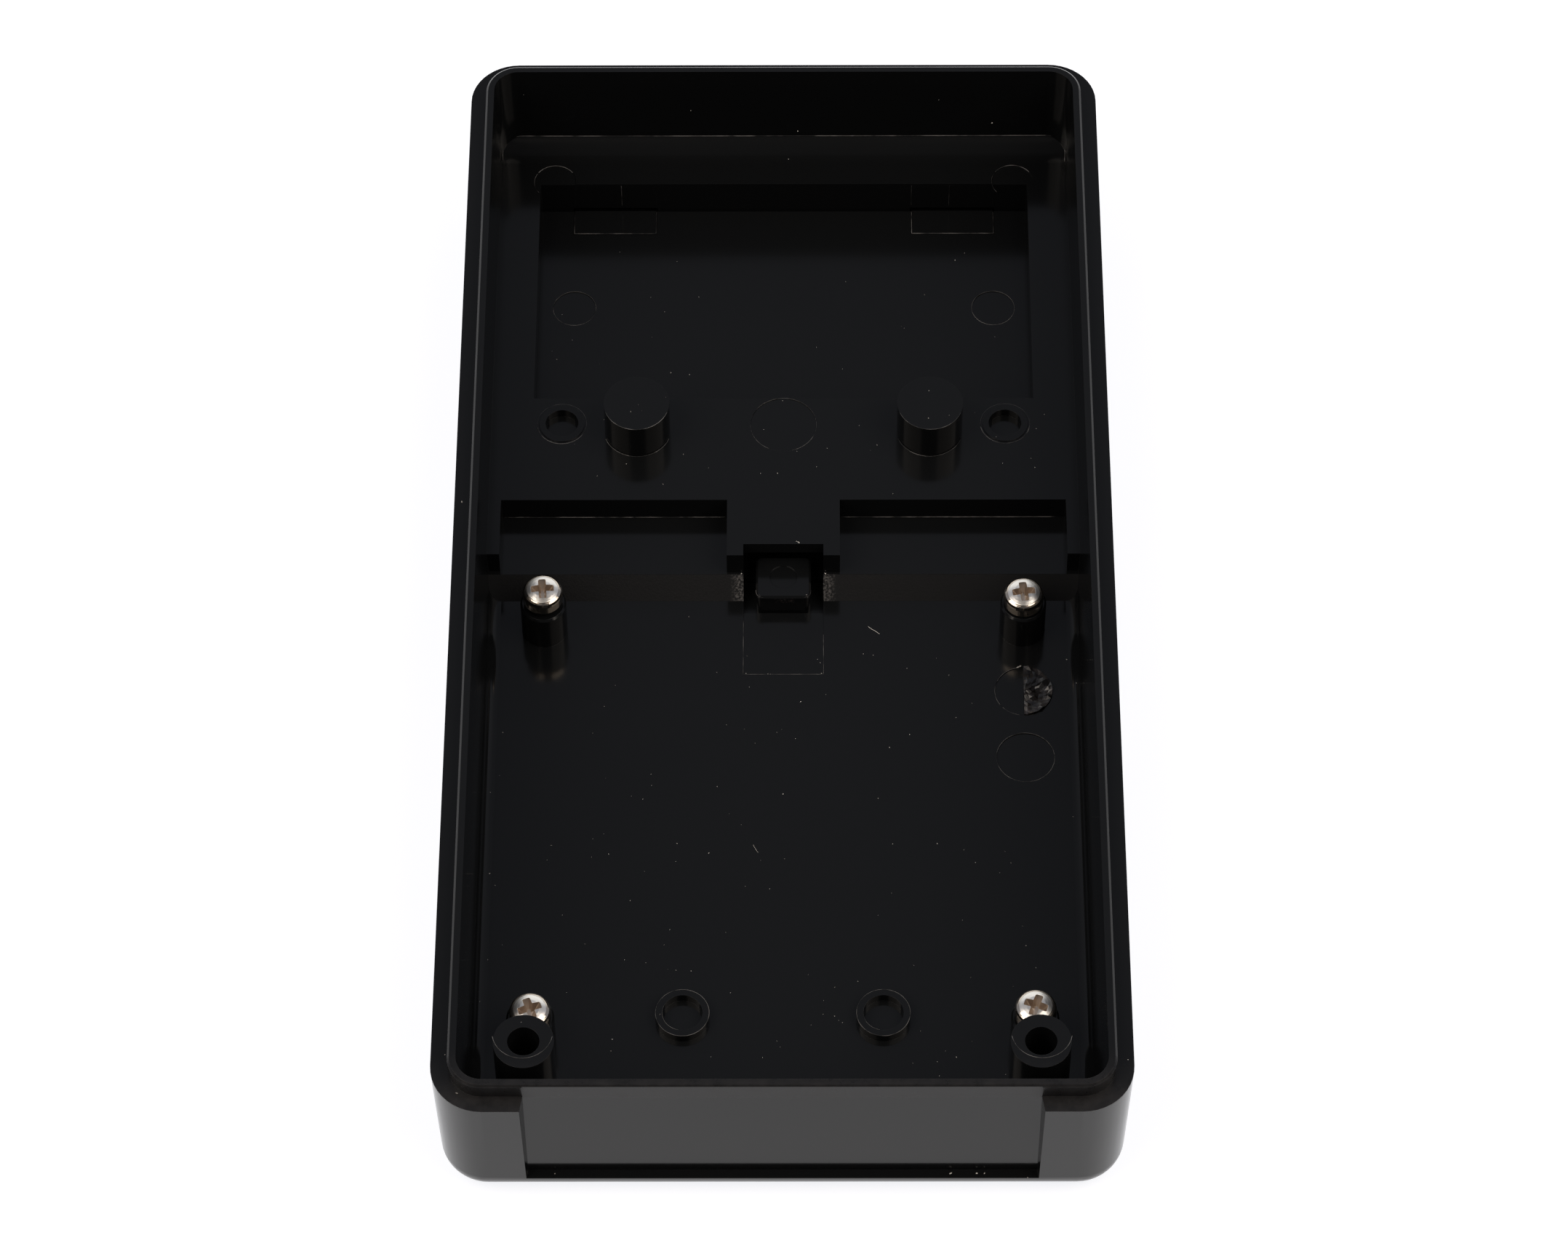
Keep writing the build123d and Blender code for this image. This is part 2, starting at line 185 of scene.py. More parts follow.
# %% Room
world = bpy.data.worlds.new("studio_room")
bpy.context.scene.world = world
world.use_nodes = True
tree = world.node_tree
tree.nodes.clear()
direction = add(tree, "ShaderNodeTexCoord")
split = add(tree, "ShaderNodeSeparateXYZ", {}, {0: direction.outputs["Generated"]})
dark_room = add(tree, "ShaderNodeBackground", {"Color": colour("#4B4B4D"), "Strength": 1.0})
dim_upper = add(tree, "ShaderNodeBackground", {"Color": colour("#83868F"), "Strength": 1.0})
white_lower = add(tree, "ShaderNodeBackground", {"Color": colour("#FFFFFF"), "Strength": 1.0})
sine = {degrees: math.sin(math.radians(degrees)) for degrees in (30, 48, 62, 80)}
share = {}
for part, axis, low, high, from_low, from_high in (
    ("ahead", "Y", -0.2, 0.1, 0.0, 1.0),
    ("straight_ahead", "Y", 0.5, 0.8, 0.0, 1.0),
    ("below_62", "Z", sine[62], sine[80], 1.0, 0.0),
    ("below_30", "Z", sine[30], sine[48], 1.0, 0.0),
):
    share[part] = add(
        tree, "ShaderNodeMapRange",
        {"From Min": low, "From Max": high, "To Min": from_low, "To Max": from_high},
        {"Value": split.outputs[axis]}, interpolation_type="SMOOTHSTEP",
    ).outputs[0]
room = dark_room
for height, width, light in (
    ("below_62", "ahead", dim_upper), ("below_30", "straight_ahead", white_lower),
):
    both = {0: share[height], 1: share[width]}
    part = add(tree, "ShaderNodeMath", {}, both, operation="MULTIPLY")
    parts = {0: part.outputs[0], 1: room.outputs[0], 2: light.outputs[0]}
    room = add(tree, "ShaderNodeMixShader", {}, parts)
path = add(tree, "ShaderNodeLightPath")
parts = {0: path.outputs["Is Camera Ray"], 1: room.outputs[0], 2: white_lower.outputs[0]}
mix = add(tree, "ShaderNodeMixShader", {}, parts)
add(tree, "ShaderNodeOutputWorld", {}, {"Surface": mix.outputs[0]})
print("room: white ahead up to 30 degrees, dim to 62, dark overhead and behind")

# %% [markdown]
# Two soft boxes, as on a copy stand: one on each side of the camera. Each is aimed at the
# middle of the case by turning its own -Z axis towards that point, which is the direction an
# area lamp shines in.

# %% Soft boxes
def soft_box(name, azimuth, elevation, distance, size, power):
    """Azimuth 0 is beside the camera, over the near end, and 90 is to the right."""
    a = math.radians(azimuth)
    e = math.radians(elevation)
    lamp = bpy.data.lights.new(name, "AREA")
    lamp.shape = "SQUARE"
    lamp.size = size
    lamp.energy = power
    lamp.color = colour("#FFF4E8")[:3]
    box = bpy.data.objects.new(name, lamp)
    towards = Vector((math.sin(a) * math.cos(e), -math.cos(a) * math.cos(e), math.sin(e)))
    box.location = towards * distance
    box.rotation_euler = (-box.location).to_track_quat("-Z", "Y").to_euler()
    bpy.context.scene.collection.objects.link(box)
    return box


boxes = [
    soft_box("left_soft_box", -68, 52, 1.1, 0.85, 5.8),
    soft_box("right_soft_box", 68, 52, 1.1, 0.85, 5.8),
]
print("lamps:", [(box.name, box.data.energy) for box in boxes])

# %% [markdown]
# ## Gloss black ABS
# The case is injection moulded in ABS, coloured black all through. A polished mould leaves a
# gloss that is nearly a mirror, with a faint unevenness where the melt shrank. The colour is
# almost black, so nearly all the light that comes back is the reflection at the surface.
# Sharp CAD edges would look cut from paper. The Bevel node bends the shading normal near each
# edge, as the small radius of a real mould does, and each arris then catches a lamp.

# %% Gloss black ABS
SHRINK_RIPPLE = 9       # mm between the faint waves that cooling leaves
RUB_SIZE = 1.6          # mm across the rubbed patches on the rim
MOULD_RADIUS = 0.045    # mm, the edge that a sharp mould leaves
RIM_FROM, RIM_TO = 19.8, 20.1   # mm, the height where the rim starts


def gloss_abs(name):
    """Black ABS from a polished mould: it gives the eye deep black and sharp highlights."""
    material = new_material(name)
    tree = material.node_tree
    place = add(tree, "ShaderNodeTexCoord")
    ripple = add(
        tree, "ShaderNodeTexNoise",
        {"Scale": 1000 / SHRINK_RIPPLE, "Detail": 2.0, "Roughness": 0.5},
        {"Vector": place.outputs["Object"]},
    )
    arris = add(tree, "ShaderNodeBevel", {"Radius": mm(MOULD_RADIUS)}, samples=6)
    bump = add(
        tree, "ShaderNodeBump", {"Strength": 0.1, "Distance": mm(0.05)},
        {"Height": ripple.outputs[0], "Normal": arris.outputs[0]},
    )
    # the rim is rubbed, most of all at the near end
    axes = add(tree, "ShaderNodeSeparateXYZ", {}, {0: place.outputs["Object"]})
    high = add(
        tree, "ShaderNodeMapRange", {"From Min": mm(RIM_FROM), "From Max": mm(RIM_TO)},
        {"Value": axes.outputs["Z"]},
    )
    near = add(
        tree, "ShaderNodeMapRange",
        {"From Min": mm(-70), "From Max": mm(-76), "To Min": 0.03},
        {"Value": axes.outputs["Y"]},
    )
    rubbed = add(
        tree, "ShaderNodeTexNoise", {"Scale": 1000 / RUB_SIZE, "Detail": 5.0, "Roughness": 0.65},
        {"Vector": place.outputs["Object"]},
    )
    patch = add(
        tree, "ShaderNodeMapRange", {"From Min": 0.3, "From Max": 0.7, "To Min": 0.4},
        {"Value": rubbed.outputs[0]},
    )
    wear = high
    for mask in (near, patch):
        both = {0: wear.outputs[0], 1: mask.outputs[0]}
        wear = add(tree, "ShaderNodeMath", {}, both, operation="MULTIPLY")
    tint = add(tree, "ShaderNodeValToRGB", {}, {"Fac": wear.outputs[0]})
    tint.color_ramp.elements[0].color = colour("#111213")
    tint.color_ramp.elements[1].color = colour("#262526")
    dulled = add(
        tree, "ShaderNodeMapRange", {"To Min": 0.14, "To Max": 0.44}, {"Value": wear.outputs[0]},
    )
    plastic = add(
        tree, "ShaderNodeBsdfPrincipled", {"IOR": 1.54, "Specular IOR Level": 0.25},
        {
            "Normal": bump.outputs[0], "Base Color": tint.outputs["Color"],
            "Roughness": dulled.outputs[0],
        },
    )
    add(tree, "ShaderNodeOutputMaterial", {}, {"Surface": plastic.outputs[0]})
    return material


case_abs = gloss_abs("black_gloss_abs_case")
door_abs = gloss_abs("black_gloss_abs_door")
nodes["base_shell"].material_slots[0].material = case_abs
nodes["battery_door"].material_slots[0].material = door_abs
print("finished:", case_abs.name, door_abs.name)

# %% [markdown]
# ## New pieces
# Every new piece goes through the same last steps: doubles are merged so that seams and poles
# close, the normals are turned outwards, the mesh gets its materials, and the piece is told
# which body it rides on. Shapes are turned and moved in their mesh, never by their object, so
# each object stays at the origin.

# %% One way to finish a piece
def make_piece(name, shape, materials, body, smooth=False):
    bmesh.ops.remove_doubles(shape, verts=shape.verts[:], dist=mm(0.0005))
    bmesh.ops.recalc_face_normals(shape, faces=shape.faces[:])
    for face in shape.faces:
        face.smooth = smooth
    mesh = bpy.data.meshes.new(name)
    shape.to_mesh(mesh)
    shape.free()
    for material in materials:
        mesh.materials.append(material)
    piece = bpy.data.objects.new(name, mesh)
    bpy.context.scene.collection.objects.link(piece)
    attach(piece, body)
    print(name, len(mesh.polygons), "faces")
    return piece


def turned(degrees, axis):
    return Matrix.Rotation(math.radians(degrees), 3, axis)


print("make_piece and turned are ready")

# %% [markdown]
# ## Nickel-plated screws
# The screws are steel, plated with nickel in a barrel with hundreds of others, so the plating
# is bright but satin. Down in the cross recess the metal is rougher, and its darker, browner
# colour is painted shade of the hollow. The domed crown is satin from rubbing against the
# driver and the other screws, and its lighter colour is a painted highlight, while the side
# kept its mirror and shows the dark case around it. Three metals, one for each, are simpler to
# tune than one metal with masks. They differ in colour, in roughness, and in the size and
# depth of their dents.

# %% Three finishes of nickel
def plated_metal(name, code, roughness, grain, strength):
    """Barrel-plated nickel: it gives the eye a silvery, slightly soft mirror."""
    material = new_material(name)
    tree = material.node_tree
    place = add(tree, "ShaderNodeTexCoord")
    dents = add(
        tree, "ShaderNodeTexNoise", {"Scale": 1000 / grain, "Detail": 3.0, "Roughness": 0.6},
        {"Vector": place.outputs["Object"]},
    )
    arris = add(tree, "ShaderNodeBevel", {"Radius": mm(0.06)}, samples=4)
    bump = add(
        tree, "ShaderNodeBump", {"Strength": strength, "Distance": mm(0.05)},
        {"Height": dents.outputs[0], "Normal": arris.outputs[0]},
    )
    metal = add(
        tree, "ShaderNodeBsdfPrincipled",
        {"Base Color": colour(code), "Metallic": 1.0, "Roughness": roughness},
        {"Normal": bump.outputs[0]},
    )
    add(tree, "ShaderNodeOutputMaterial", {}, {"Surface": metal.outputs[0]})
    return material


# The crown's metal is lighter in colour, a painted highlight; the recess's is darker and browner,
# painted shade.
screw_metals = [
    plated_metal("bright_nickel_plating", "#D9CDBE", 0.13, grain=0.8, strength=0.3),
    plated_metal("satin_nickel_painted_highlight", "#F7F3EC", 0.28, grain=0.7, strength=0.35),
    plated_metal("nickel_painted_shade_in_recess", "#D2C6BA", 0.36, grain=0.3, strength=0.7),
]
SIDE, CROWN, RECESS = range(3)
print("finished:", [metal.name for metal in screw_metals])

# %% [markdown]
# A pan-head screw is a turned shape, so half its outline is spun once round the Z axis. The
# outline is written as radius and height in millimetres, with the head's underside at zero:
# up the core, out along the underside, round the shoulder and over the low dome.

# %% Turned blank of a board screw
OUTLINE = [
    (0, -6.0), (0.5, -6.0), (0.78, -5.75), (0.78, -0.06), (0.9, 0), (2.36, 0), (2.45, 0.09),
    (2.45, 1.16), (2.4, 1.42), (2.27, 1.66), (2.1, 1.8), (1.95, 1.86), (1.9, 1.9),
    (1.55, 2.02), (1.15, 2.13), (0.7, 2.2), (0, 2.24),
]


def turned_blank():
    shape = bmesh.new()
    line = [shape.verts.new(mm(r, 0, z)) for r, z in OUTLINE]
    edges = [shape.edges.new(pair) for pair in zip(line, line[1:])]
    bmesh.ops.spin(
        shape, geom=line + edges, angle=math.tau, steps=56, axis=(0, 0, 1), cent=(0, 0, 0),
        use_merge=True,
    )
    bmesh.ops.remove_doubles(shape, verts=shape.verts[:], dist=mm(0.002))
    bmesh.ops.recalc_face_normals(shape, faces=shape.faces[:])
    return shape


print("outline points:", len(OUTLINE))

# %% [markdown]
# The cross recess is punched into the blank. Its punch starts as a cube whose four sides are
# pulled out into arms. The tips are rounded, and the lower end is drawn in so that the arms
# slope as those of a real driver do. Extruding four faces keeps the cross one closed shape,
# which a Boolean needs.

# %% Cross punch
PUNCH_CORE = 1.05       # mm, the arm's width at the top of the punch
PUNCH_HEIGHT = 1.7
PUNCH_ARM = 1.12        # each arm, beyond the core
PUNCH_MIDDLE = 1.6      # height of the punch's middle over the head's underside
PUNCH_TAPER = 0.36      # size of the lower end, as a part of the upper


def cross_punch():
    shape = bmesh.new()
    bmesh.ops.create_cube(shape, size=mm(1.0))
    bmesh.ops.scale(shape, vec=(PUNCH_CORE, PUNCH_CORE, PUNCH_HEIGHT), verts=shape.verts[:])
    sides = [face for face in shape.faces if abs(face.normal.z) < 0.5]
    arms = bmesh.ops.extrude_discrete_faces(shape, faces=sides)["faces"]
    for arm in arms:
        bmesh.ops.translate(shape, vec=arm.normal * mm(PUNCH_ARM), verts=arm.verts[:])
    upright = [
        edge for arm in arms for edge in arm.edges
        if abs(edge.verts[0].co.z - edge.verts[1].co.z) > mm(1)
    ]
    bmesh.ops.bevel(
        shape, geom=upright, offset=mm(0.16), affect="EDGES", segments=2, profile=0.5,
        material=-1,
    )
    low = [v for v in shape.verts if v.co.z < 0]
    bmesh.ops.scale(shape, vec=(PUNCH_TAPER, PUNCH_TAPER, 1), verts=low)
    bmesh.ops.translate(shape, vec=mm(0, 0, PUNCH_MIDDLE), verts=shape.verts[:])
    bmesh.ops.remove_doubles(shape, verts=shape.verts[:], dist=mm(0.001))
    bmesh.ops.recalc_face_normals(shape, faces=shape.faces[:])
    return shape


def loose_object(name, shape):
    mesh = bpy.data.meshes.new(name)
    shape.to_mesh(mesh)
    shape.free()
    holder = bpy.data.objects.new(name, mesh)
    bpy.context.scene.collection.objects.link(holder)
    return holder


blank = loose_object("screw_blank", turned_blank())
punch = loose_object("screw_punch", cross_punch())
cut = blank.modifiers.new("recess", "BOOLEAN")
cut.operation = "DIFFERENCE"
cut.solver = "EXACT"
cut.object = punch
bpy.context.view_layer.update()
ready = blank.evaluated_get(bpy.context.evaluated_depsgraph_get())
screw_mesh = bpy.data.meshes.new_from_object(ready)
for holder in (blank, punch):
    bpy.data.objects.remove(holder)
print("punched screw:", len(screw_mesh.polygons), "faces")

# %% [markdown]
# The thread is one small triangle that climbs as it spins: the spin operator moves it up by a
# set step each time. It is a closed coil of its own that sinks a little into the core.
# The four screws differ only in where they stand, how far they were driven, and how far the
# cross is turned. Each is a copy of the punched mesh with a thread added.

# %% Board screws
POST_TOP = 7.8
PITCH = 1.0
THREAD_TURNS = 5
STEPS_A_TURN = 24
THREAD_SECTION = ((0.74, -5.6), (1.04, -5.42), (0.74, -5.24))
BOARD_SCREWS = {    # corner: x, y, lift off the post, turn in degrees
    "front_left": (-29.5, -57.5, 0.0, 20),
    "front_right": (29.5, -57.5, 0.65, -20),
    "rear_left": (-29.5, 1.5, 0.95, 4),
    "rear_right": (29.5, 1.5, 0.25, 7),
}


def add_thread(shape):
    corners = [shape.verts.new(mm(r, 0, z)) for r, z in THREAD_SECTION]
    face = shape.faces.new(corners)
    bmesh.ops.spin(
        shape, geom=corners + list(face.edges) + [face], angle=math.tau * THREAD_TURNS,
        steps=STEPS_A_TURN * THREAD_TURNS, axis=(0, 0, 1), cent=(0, 0, 0),
        dvec=mm(0, 0, PITCH / STEPS_A_TURN),
    )


for corner, (x, y, lift, turn) in BOARD_SCREWS.items():
    shape = bmesh.new()
    shape.from_mesh(screw_mesh)
    # Faces in the recess take the metal with painted shade, those on the crown the metal with
    # painted highlight.
    for face in shape.faces:
        middle = face.calc_center_median()
        inside = math.hypot(middle.x, middle.y) < mm(1.5) and middle.z > mm(0.5)
        if inside and (face.normal.z < 0.8 or middle.z < mm(1.9)):
            face.material_index = RECESS
        elif middle.z > mm(1.87):
            face.material_index = CROWN
        else:
            face.material_index = SIDE
    add_thread(shape)
    bmesh.ops.rotate(shape, cent=(0, 0, 0), matrix=turned(turn, "Z"), verts=shape.verts[:])
    bmesh.ops.translate(shape, vec=mm(x, y, POST_TOP + lift), verts=shape.verts[:])
    screw = make_piece("board_screw_" + corner, shape, screw_metals, "case")
    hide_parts("pcb_screw_" + corner)
bpy.data.meshes.remove(screw_mesh)

# %% [markdown]
# ## The slope in front of the step
# The step across the floor doesn't drop straight down: its front is a slope, cut in two by the
# hole of the latch. Each half is a box with its front corner sliced off by one plane.
# The mould is coarser here. Beside the latch hole it was dressed by hand, which left the
# plastic pitted. Close to the hole the finish also gets pale grey specks in its colour:
# painted glints, standing in for light sparkling on the pits.

# %% Rough black ABS
PIT_SIZE = 0.28                     # mm
# Between these two distances the painted glint specks fade from full to none.
PAINTED_GLINTS_FROM, PAINTED_GLINTS_TO = 5.7, 6.6     # mm from the middle line, all pits to none


def pitted_abs_painted_glints(name):
    """Black ABS from a coarse, hand-dressed mould face: dull and pitted, with painted glints."""
    material = new_material(name)
    tree = material.node_tree
    place = add(tree, "ShaderNodeTexCoord")
    axes = add(tree, "ShaderNodeSeparateXYZ", {}, {0: place.outputs["Object"]})
    across = add(tree, "ShaderNodeMath", {}, {0: axes.outputs["X"]}, operation="ABSOLUTE")
    glints_near_hole = add(
        tree, "ShaderNodeMapRange",
        {
            "From Min": mm(PAINTED_GLINTS_FROM), "From Max": mm(PAINTED_GLINTS_TO),
            "To Min": 1.0, "To Max": 0.0,
        },
        {"Value": across.outputs[0]},
    )
    pits = add(
        tree, "ShaderNodeTexNoise",
        {"Scale": 1000 / PIT_SIZE, "Detail": 4.0, "Roughness": 0.7},
        {"Vector": place.outputs["Object"]},
    )
    specks = add(
        tree, "ShaderNodeMapRange", {"From Min": 0.46, "From Max": 0.62},
        {"Value": pits.outputs[0]},
    )
    # Close to the hole the specks paint the colour pale grey: painted glints on the pits.
    both = {0: glints_near_hole.outputs[0], 1: specks.outputs[0]}
    pale = add(tree, "ShaderNodeMath", {}, both, operation="MULTIPLY")
    tint = add(tree, "ShaderNodeValToRGB", {}, {"Fac": pale.outputs[0]})
    tint.color_ramp.elements[0].color = colour("#19191A")
    tint.color_ramp.elements[1].color = colour("#5E5C5B")
    bump = add(
        tree, "ShaderNodeBump", {"Strength": 0.5, "Distance": mm(0.06)},
        {"Height": pits.outputs[0]},
    )
    plastic = add(
        tree, "ShaderNodeBsdfPrincipled",
        {"Roughness": 0.42, "IOR": 1.54, "Specular IOR Level": 0.4},
        {"Normal": bump.outputs[0], "Base Color": tint.outputs["Color"]},
    )
    add(tree, "ShaderNodeOutputMaterial", {}, {"Surface": plastic.outputs[0]})
    return material


step_abs_painted_glints = pitted_abs_painted_glints("black_abs_coarse_mould_painted_glints")
print("finished:", step_abs_painted_glints.name)

# %% [markdown]
# The plane runs through the foot and the top edge of the slope, and its normal has to point
# up, because the bisect clears what lies on that side. The cut leaves a hole, which is filled
# so that each half is a closed solid. Both halves sink a little into the floor and the step.

# %% The two halves of the slope
SLOPE_FOOT = (0, 5.6, 2.2)
SLOPE_TOP = (0, 7.7, 4.985)
SLOPE_BOX_SIZE = (2.5, 2.885)       # along Y and Z
SLOPE_BOX_MIDDLE = (6.7, 3.5425)
SLOPE_SPANS = {"left": (-36.7, -4.95), "right": (4.95, 36.7)}   # from wall to latch hole

up_slope = Vector(SLOPE_TOP) - Vector(SLOPE_FOOT)
slope_normal = Vector((1, 0, 0)).cross(up_slope).normalized()
for side, (x0, x1) in SLOPE_SPANS.items():
    shape = bmesh.new()
    bmesh.ops.create_cube(shape, size=1)
    bmesh.ops.scale(shape, vec=mm(x1 - x0, *SLOPE_BOX_SIZE), verts=shape.verts[:])
    middle = mm((x0 + x1) / 2, *SLOPE_BOX_MIDDLE)
    bmesh.ops.translate(shape, vec=middle, verts=shape.verts[:])
    cut = bmesh.ops.bisect_plane(
        shape, geom=shape.verts[:] + shape.edges[:] + shape.faces[:], dist=mm(0.0001),
        plane_co=mm(*SLOPE_FOOT), plane_no=slope_normal, clear_outer=True,
    )
    rim = [item for item in cut["geom_cut"] if isinstance(item, bmesh.types.BMEdge)]
    bmesh.ops.holes_fill(shape, edges=rim, sides=0)
    make_piece("step_slope_" + side, shape, [step_abs_painted_glints], "case")

# %% [markdown]
# ## Flash and witness lines
# Where two parts of a mould meet, or round an ejector pin, a hair of plastic is squeezed into
# the joint. It stands a few hundredths of a millimetre proud and shows as a thin bright line.
# Its finish has no Bevel node: on a tube this thin the node would average all the normals.
# Slow noise paints the colour from near black to a pale grey along the line: a painted
# highlight, bright in one place and nearly lost in the next.

# %% Thin flash finish
HIGHLIGHT_BREAK_SIZE = 2.5        # mm between the bright places


def thin_flash_painted_highlight(name):
    """Flash of black ABS: drawn out thin, duller, catching light on its crest, with a painted
    highlight.
    """
    material = new_material(name)
    tree = material.node_tree
    place = add(tree, "ShaderNodeTexCoord")
    highlight_breaks = add(
        tree, "ShaderNodeTexNoise",
        {"Scale": 1000 / HIGHLIGHT_BREAK_SIZE, "Detail": 3.0, "Roughness": 0.6},
        {"Vector": place.outputs["Object"]},
    )
    # The pale end of this ramp is a painted highlight along the line.
    tint = add(tree, "ShaderNodeValToRGB", {}, {"Fac": highlight_breaks.outputs[0]})
    tint.color_ramp.elements[0].position = 0.42
    tint.color_ramp.elements[0].color = colour("#1A1A1B")
    tint.color_ramp.elements[1].position = 0.62
    tint.color_ramp.elements[1].color = colour("#6A6867")
    plastic = add(
        tree, "ShaderNodeBsdfPrincipled",
        {"Roughness": 0.36, "IOR": 1.54, "Specular IOR Level": 0.35},
        {"Base Color": tint.outputs["Color"]},
    )
    add(tree, "ShaderNodeOutputMaterial", {}, {"Surface": plastic.outputs[0]})
    return material


flash_abs_painted_highlight = thin_flash_painted_highlight("thin_abs_flash_painted_highlight")
print("finished:", flash_abs_painted_highlight.name)

# %% [markdown]
# A line along a wall is a bead: a thin tube on a smooth curve. A line round a pin is a small
# section spun about the pin's axis, full circle or only where it broke through. A full circle
# needs no caps, because its end merges with its start.

# %% Beads and pin lines
DEGREES_A_STEP = 7


def bead(shape, thickness, *points):
    """A closed hair-thin tube on a smooth curve, sizes in millimetres."""
    curve = bpy.data.curves.new("hair", "CURVE")
    curve.dimensions = "3D"
    curve.bevel_depth = mm(thickness / 2)
    curve.bevel_resolution = 1
    curve.use_fill_caps = True
    curve.resolution_u = 8
    spline = curve.splines.new("NURBS")
    spline.points.add(len(points) - 1)
    for knot, point in zip(spline.points, points):
        knot.co = (*mm(*point), 1)
    spline.use_endpoint_u = True
    spline.order_u = min(3, len(points))
    holder = bpy.data.objects.new("hair", curve)
    mesh = bpy.data.meshes.new_from_object(holder)
    shape.from_mesh(mesh)
    bpy.data.objects.remove(holder)
    bpy.data.meshes.remove(mesh)
    bpy.data.curves.remove(curve)


def pin_line(shape, thickness, centre, radius, start=0, sweep=360):
    """Flash round a pin or another round edge. Angles in degrees, anticlockwise from +X."""
    x, y, z = centre
    whole = sweep >= 360
    ring = bmesh.ops.create_circle(
        shape, cap_ends=not whole, segments=6, radius=mm(thickness / 2),
    )["verts"]
    bmesh.ops.rotate(shape, cent=(0, 0, 0), matrix=turned(90, "X"), verts=ring)
    bmesh.ops.translate(shape, vec=mm(radius, 0, 0), verts=ring)
    bmesh.ops.rotate(shape, cent=(0, 0, 0), matrix=turned(start, "Z"), verts=ring)
    bmesh.ops.translate(shape, vec=mm(x, y, z), verts=ring)
    edges = list({edge for v in ring for edge in v.link_edges})
    faces = list({face for v in ring for face in v.link_faces})
    bmesh.ops.spin(
        shape, geom=ring + edges + faces, angle=math.radians(sweep),
        steps=max(6, round(sweep / DEGREES_A_STEP)), axis=(0, 0, 1), cent=mm(x, y, 0),
        use_merge=whole,
    )


print("bead and pin_line are ready")

# %% [markdown]
# The case has a long parting line across its far wall, upright lines below it where inserts of
# the mould meet, three lines round the insert's mark in the floor, and one broken line at the
# foot of the platform's front. Round lines lie at ejector pins and at the edges of rests, rings
# and screw bosses, and most come in pairs, one on each side of the middle. Each row gives a
# thickness, a centre and a radius, then where the line starts and how far it runs, in degrees.

# %% Witness lines of the case
FAR_WALL_LINE = [
    (-36.45, 70.6, 8.68), (-36.75, 72.9, 9.3), (-35.2, 73.87, 10.05), (-33, 73.87, 10.0),
    (0, 73.87, 9.98), (33, 73.87, 10.0), (35.2, 73.87, 10.05), (36.75, 72.9, 9.3),
    (36.45, 70.6, 8.68),
]
INSERT_JOINTS_X = (-21.05, 16.55, 21.45)
INSERT_MARK = [(-4.95, 3.6), (-4.95, -5.37), (4.95, -5.37), (4.95, 0.5)]
PLATFORM_FRONT = [
    [(-7.2, 16.42, 5.02), (-15, 16.4, 5.03), (-24, 16.4, 5.03), (-34.8, 16.42, 5.02)],
    [(7.2, 16.42, 5.02), (14, 16.4, 5.03), (24, 16.4, 5.03), (34.8, 16.42, 5.02)],
]
PLATFORM_PIN = (0, 28.1, 8.63)
FLOOR_PIN = (29.5, -17.6, 2.19)
TORN_PIN = (29.5, -7.9, 2.19)
MIDDLE_ROUNDS = [
    (0.08, PLATFORM_PIN, 4.15, 205, 40), (0.08, PLATFORM_PIN, 4.15, 285, 50),
    (0.04, PLATFORM_PIN, 4.15, 335, 230),
]
PAIRED_ROUNDS = [
    (0.1, (29.6, 67.3, 8.63), 2.7, 35, 110), (0.05, (29.6, 67.3, 8.63), 2.7, 150, 70),
    (0.09, (27.8, 28.25, 8.63), 3.1, 190, 160), (0.05, (27.8, 28.25, 8.63), 3.1, 350, 190),
    (0.1, (18.3, 27.3, 8.68), 4.2, 200, 140), (0.08, (18.3, 27.3, 14.15), 4.07, 200, 140),
    (0.08, (11.85, -54.3, 3.4), 3.17, 170, 210), (0.06, (11.85, -54.3, 3.4), 3.17, 20, 150),
    (0.06, (11.85, -54.3, 3.4), 2.38, 150, 110), (0.07, (29.5, -68, 22.36), 3.46, 190, 160),
]
RIGHT_ROUNDS = [
    (0.07, FLOOR_PIN, 3.55, 0, 360), (0.07, TORN_PIN, 3.55, 95, 60),
    (0.06, TORN_PIN, 3.55, 165, 50), (0.05, TORN_PIN, 3.55, 222, 40),
]


def mirrored(side, point):
    return (side * point[0], *point[1:])


flash = bmesh.new()
bead(flash, 0.13, *FAR_WALL_LINE)
for x in INSERT_JOINTS_X:
    bead(flash, 0.07, (x, 66.9, 4.2), (x, 66.9, 8.3))
for start, end in zip(INSERT_MARK, INSERT_MARK[1:]):
    bead(flash, 0.07, (*start, 2.18), (*end, 2.18))
for line in PLATFORM_FRONT:
    bead(flash, 0.1, *line)
for row in MIDDLE_ROUNDS:
    pin_line(flash, *row)
for side in (-1, 1):
    for thickness, centre, radius, start, sweep in PAIRED_ROUNDS:
        pin_line(flash, thickness, mirrored(side, centre), radius, start, sweep)
for row in RIGHT_ROUNDS:
    pin_line(flash, *row)
make_piece("mould_flash_case", flash, [flash_abs_painted_highlight], "case", smooth=True)

# %% [markdown]
# The door has the same lines on each half: three round the pad of its far tab, a ring round
# an ejector pin, and a short hook at the corner of the latch. They are a piece of their own,
# because they ride on the door when it opens.

